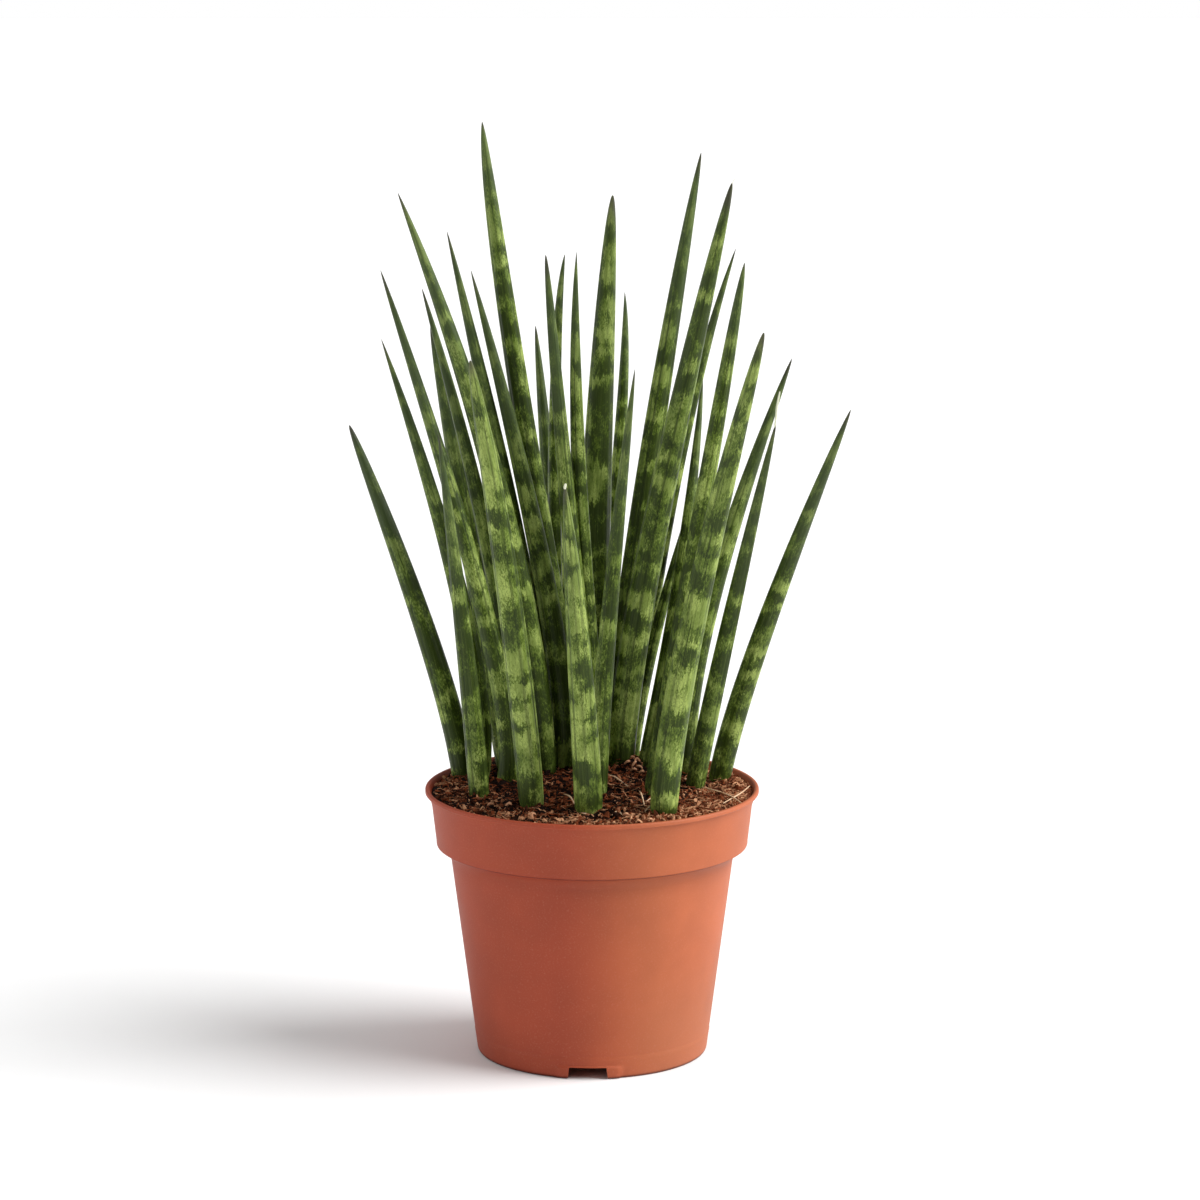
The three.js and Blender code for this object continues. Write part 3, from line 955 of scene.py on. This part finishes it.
# ---- pot ----
def pot_section():
    """The wall's section, once round: (radius, height) pairs in millimetres."""
    wall = 1.1
    foot, body, body_z = 41.5, 50.7, 70.5
    collar_foot, collar_foot_z, collar = 56.1, 78.0, 57.6
    lip_under = POT_HEIGHT - 1.7
    slope = (body - foot) / body_z
    # A fine moulded line round the foot, and rows below it for the notches' margins.
    line_z = 8.0
    at_line = foot + slope * line_z
    rows = (1.4, 2.2, 3.0, 3.7, 4.2, 4.6, 5.0, 5.5, 6.2)
    outside = [
        (34.6, 4.8), (38.6, 3.4), (39.1, 0.3), (39.5, 0.0), (40.9, 0.0), (41.3, 0.25),
        (foot + 0.08, 0.8), *((foot + 0.03 + slope * row, row) for row in rows),
        (at_line + 0.05, line_z - 0.35), (at_line - 0.05, line_z),
        (at_line + 0.03, line_z + 0.5), (body, body_z), (body + 0.25, body_z + 1.2),
        (body + 0.9, body_z + 2.6), (body + 2.2, body_z + 4.2), (body + 4, body_z + 5.5),
        (collar_foot - 0.6, CREASE_Z), (collar_foot - 0.12, CREASE_Z + 0.15),
        (collar_foot - 0.05, CREASE_Z + 0.5), (collar_foot, collar_foot_z),
        (collar, POT_HEIGHT - 6), (collar + 0.6, POT_HEIGHT - 3.8),
        (LIP_R - 1.35, lip_under - 0.45), (LIP_R - 1.25, lip_under - 0.1),
        (LIP_R - 0.25, lip_under), (LIP_R, lip_under + 0.3),
        (LIP_R, POT_HEIGHT - 0.55), (LIP_R - 0.15, POT_HEIGHT - 0.2),
        (LIP_R - 0.5, POT_HEIGHT),
    ]
    inside = [
        (LIP_R - wall, POT_HEIGHT), (LIP_R - wall - 0.4, POT_HEIGHT - 0.3),
        (LIP_R - wall - 0.7, POT_HEIGHT - 1), (collar - wall + 0.8, POT_HEIGHT - 3.4),
        (collar - wall, POT_HEIGHT - 6.2), (collar_foot - wall, collar_foot_z),
        (collar_foot - wall - 1.1, collar_foot_z - 1.4), (body - wall + 2.6, body_z + 4.5),
        (body - wall + 0.7, body_z + 2.4), (body - wall, body_z),
        (at_line - wall, line_z), (foot - wall - 0.8, 6.2),
    ]
    return outside + inside


def with_margins(shape, pot):
    """The pot with raised margins, 0.8 mm high, at both sides of each notch in its foot."""
    x, y, z = shape.parts(shape.node("GeometryNodeInputPosition"))
    radius = shape.math("SQRT", x * x + y * y)
    half_step = math.pi / shape.size("Notches")
    turn = shape.math("ARCTAN2", y, x) - shape.size("Turn")
    turn = shape.math("WRAP", turn, half_step, 0 - half_step)
    past_notch = shape.math("ABSOLUTE", turn) * radius - shape.size("Width") / 2
    beside = shape.ramp(past_notch, 0.0058, 0.0042)
    low, outside = shape.ramp(z, 0.0052, 0.0041), shape.ramp(radius, 0.0409, 0.0414)
    outward = shape.vector("NORMALIZE", shape.joined(x, y, 0.0))
    return shape.moved(pot, Offset=shape.scaled(outward, beside * low * outside * 0.0008))


def pot_tree(material):
    """Cuts the foot's notches and the floor's drain holes at even steps."""
    shape = Shape(
        "pierced pot", Notches="count", Width="number", Height="number", Drain="number",
        Turn="number",
    )
    turn = shape.index() * math.tau / shape.size("Notches") + shape.size("Turn")
    sockets = {"Count": shape.size("Notches"), "Offset": (0.0, 0.0, 0.0)}
    spots = shape.node("GeometryNodeMeshLine", None, sockets)
    outward = shape.joined(shape.math("COSINE", turn), shape.math("SINE", turn), 0.0)

    def ring_of(cutter, radius):
        points = shape.moved(spots, Position=shape.scaled(outward, radius))
        turned_out = shape.joined(0.0, 0.0, turn)
        sockets = {"Points": points, "Instance": cutter, "Rotation": turned_out}
        return shape.node("GeometryNodeInstanceOnPoints", None, sockets)

    size = shape.joined(CUTTER, shape.size("Width"), shape.size("Height") * 2)
    block = shape.node("GeometryNodeMeshCube", None, {"Size": size})
    x, y, z = shape.parts(shape.node("GeometryNodeInputPosition"))
    flare = 1 + 0.17 * shape.ramp(z, 0.0, -0.004)
    block = shape.moved(block, Position=shape.joined(x, y * flare, z))
    sockets = {"Vertices": 32, "Radius": shape.size("Drain"), "Depth": CUTTER}
    drain = shape.node("GeometryNodeMeshCylinder", None, sockets)
    drain = shape.moved(drain, Offset=(0.0, 0.0, 0.005))
    cutters = shape.merged(ring_of(block, NOTCH_RING), ring_of(drain, DRAIN_RING))
    cutters = shape.node("GeometryNodeRealizeInstances", None, {"Geometry": cutters})
    settings = {"operation": "DIFFERENCE", "solver": "EXACT"}
    sockets = {"Mesh 1": with_margins(shape, shape.size("Geometry")), "Mesh 2": cutters}
    pot = shape.node("GeometryNodeMeshBoolean", settings, sockets)
    return shape.finish(pot, material)


def plastic_finish(settings):
    """Satin terracotta-coloured plastic, faintly mottled, with a fine moulded grain, painted
    sheen on its right side and painted shade under the collar and along the foot.
    """
    plastic = Finish("terracotta plastic")

    def tinted(color, share, tint):
        return plastic.blend(share, color, tint, "MULTIPLY")

    place = plastic.place()
    cloud = plastic.noise(place, 0.035, 3.0, 0.55)
    grain = plastic.noise(place, 1.6, 3.0, 0.6)
    pore = plastic.noise(place, 7.0, 2.0, 0.6)
    x, _, z = plastic.parts(place)
    # Painted sheen: the right side, where the key light falls, turns into a lighter, paler
    # plastic.
    color = plastic.blend(plastic.ramp(x, -14.0, 26.0), settings.plastic, settings.painted_sheen)
    color = tinted(color, 1 - plastic.ramp(cloud, 0.3, 0.7), (0.86, 0.86, 0.86))
    color = plastic.blend(plastic.ramp(grain, 0.5, 0.8) * 0.25, color, (0.55, 0.2, 0.12))
    # Towards the foot on the right side the plastic is less red and darker; a painted shadow
    # under the collar, painted shade in its crease, and a painted contact shadow along the
    # foot's bottom edge.
    low = plastic.ramp(z, 48.0, 12.0) * plastic.ramp(x, 2.0, 34.0)
    color = tinted(color, low, (0.82, 0.93, 1.0))
    # Painted shadow under the collar.
    painted_collar_shadow = plastic.ramp(z, 66.0, 75.5) * (1 - plastic.ramp(z, CREASE_Z, 76.8))
    color = tinted(color, painted_collar_shadow, (0.84, 0.8, 0.8))
    # Painted shade, darker still, in the collar's crease.
    crease = plastic.ramp(z, 75.3, 76.1) * (1 - plastic.ramp(z, 76.45, 76.7))
    color = tinted(color, crease, (0.66, 0.58, 0.58))
    # Painted contact shadow along the foot's bottom edge.
    color = tinted(color, 1 - plastic.ramp(z, 0.3, 1.4), (0.36, 0.3, 0.3))
    bump = plastic.bump(grain * 0.6 + pore, 0.16, 0.00012)
    rough = 0.46 + 0.1 * cloud + 0.08 * grain
    return plastic.surface(color, rough, bump, **{"Specular IOR Level": 0.25})


class PLANT_OT_pot(bpy.types.Operator):
    """Turn the nursery pot and cut its notches and drain holes"""

    bl_idname = "plant.pot"
    bl_label = "Nursery pot"

    def execute(self, context):
        settings = context.scene.plant_pot
        pot = add_mesh("pot_shell", *revolved(pot_section(), settings.sides))
        grow(
            pot, pot_tree(plastic_finish(settings)), Notches=settings.notches,
            Width=settings.notch_wide, Height=settings.notch_tall,
            Drain=settings.drain_radius, Turn=FIRST_NOTCH,
        )
        pot.data.shade_smooth()
        pot.data.set_sharp_from_angle(angle=math.radians(38))
        hand_over(pot, "pot", "pot")
        return {"FINISHED"}


# ---- studio ----
FLOOR_REACH = 6000.0  # in millimetres
SUN_WIDTH = 50  # in degrees


def add_sun(name, power, azimuth, height):
    """A soft far light. Its angles are in degrees, the azimuth counted from +X."""
    azimuth, height = math.radians(azimuth), math.radians(height)
    light = bpy.data.lights.new(name, "SUN")
    light.energy = power
    light.angle = math.radians(SUN_WIDTH)
    lamp = bpy.data.objects.new(name, light)
    towards = Vector((
        math.cos(height) * math.cos(azimuth), math.cos(height) * math.sin(azimuth),
        math.sin(height),
    ))
    lamp.rotation_euler = towards.to_track_quat("Z", "Y").to_euler()
    bpy.context.scene.collection.objects.link(lamp)


class PLANT_OT_studio(bpy.types.Operator):
    """Set up the floor, the light and the camera"""

    bl_idname = "plant.studio"
    bl_label = "Studio"

    def execute(self, context):
        settings = context.scene.plant_studio
        scene = context.scene
        near, far = -FLOOR_REACH, FLOOR_REACH
        corners = [(near, near, 0), (far, near, 0), (far, far, 0), (near, far, 0)]
        floor = add_mesh("floor", corners, [(0, 1, 2, 3)])
        paper = Finish("pale floor")
        speck = paper.noise(paper.place(), 0.02, 2.0)
        shade = paper.blend(speck * 0.02, settings.floor, (0.8, 0.8, 0.8))
        floor.data.materials.append(paper.surface(shade, 0.9, **{"Specular IOR Level": 0.1}))

        add_sun("key", settings.key_power, azimuth=-8, height=38)
        add_sun("left", settings.left_power, azimuth=-155, height=16)

        world = bpy.data.worlds.new("studio")
        world.use_nodes = True
        sky = Graph(world.node_tree)
        heading = sky.node("ShaderNodeTexCoord", None, None, "Generated")
        aside, behind, above = sky.parts(heading)
        top = sky.ramp(above, 0.5, 0.9)
        side = sky.ramp(sky.math("ABSOLUTE", aside), 0.6, 1.0)
        back = sky.ramp(behind, -0.3, 0.8)
        front = settings.fill_front
        level = front + (settings.fill_side - front) * side
        level = level + (settings.fill_back - front) * back + settings.fill_top * top
        fill = sky.node("ShaderNodeBackground", None, {0: (1, 1, 1), 1: level})
        white = sky.node("ShaderNodeBackground", None, {0: (1, 1, 1), 1: 1.0})
        seen = sky.node("ShaderNodeLightPath", None, None, "Is Camera Ray")
        light = sky.node("ShaderNodeMixShader", None, {0: seen, 1: fill, 2: white})
        sky.node("ShaderNodeOutputWorld", None, {0: light})
        scene.world = world
        scene.view_settings.view_transform = "Standard"

        lens = bpy.data.cameras.new("camera")
        lens.sensor_width = 36.0
        lens.lens = settings.lens
        camera = bpy.data.objects.new("camera", lens)
        camera.location = settings.camera_at
        camera.rotation_euler = (math.pi / 2 - settings.camera_tilt, 0.0, 0.0)
        scene.collection.objects.link(camera)
        scene.camera = camera
        return {"FINISHED"}


class PLANT_PT_sidebar(bpy.types.Panel):
    """Lists the plant's pieces and their settings"""

    bl_idname = "PLANT_PT_sidebar"
    bl_label = "Snake plant"
    bl_space_type = "VIEW_3D"
    bl_region_type = "UI"
    bl_category = "Snake plant"

    def draw(self, context):
        for group, owner in SETTINGS.items():
            settings = getattr(context.scene, owner)
            box = self.layout.box()
            for name in group.__annotations__:
                box.prop(settings, name)
        for operator in OPERATORS:
            self.layout.operator(operator.bl_idname)


SETTINGS = {
    LeafSettings: "plant_leaf",
    SoilSettings: "plant_soil",
    PotSettings: "plant_pot",
    StudioSettings: "plant_studio",
}
OPERATORS = (
    PLANT_OT_studio,
    PLANT_OT_pot,
    PLANT_OT_potting_mix,
    PLANT_OT_crumbs,
    PLANT_OT_strands,
    PLANT_OT_leaves,
    PLANT_OT_dry_ends,
)


def register():
    for group, name in SETTINGS.items():
        bpy.utils.register_class(group)
        setattr(bpy.types.Scene, name, PointerProperty(type=group))
    for cls in (*OPERATORS, PLANT_PT_sidebar):
        bpy.utils.register_class(cls)


def unregister():
    for cls in reversed((*OPERATORS, PLANT_PT_sidebar)):
        bpy.utils.unregister_class(cls)
    for group, name in reversed(SETTINGS.items()):
        delattr(bpy.types.Scene, name)
        bpy.utils.unregister_class(group)


def main():
    register()
    for operator in OPERATORS:
        family, name = operator.bl_idname.split(".")
        getattr(getattr(bpy.ops, family), name)()


if __name__ == "__main__":
    main()
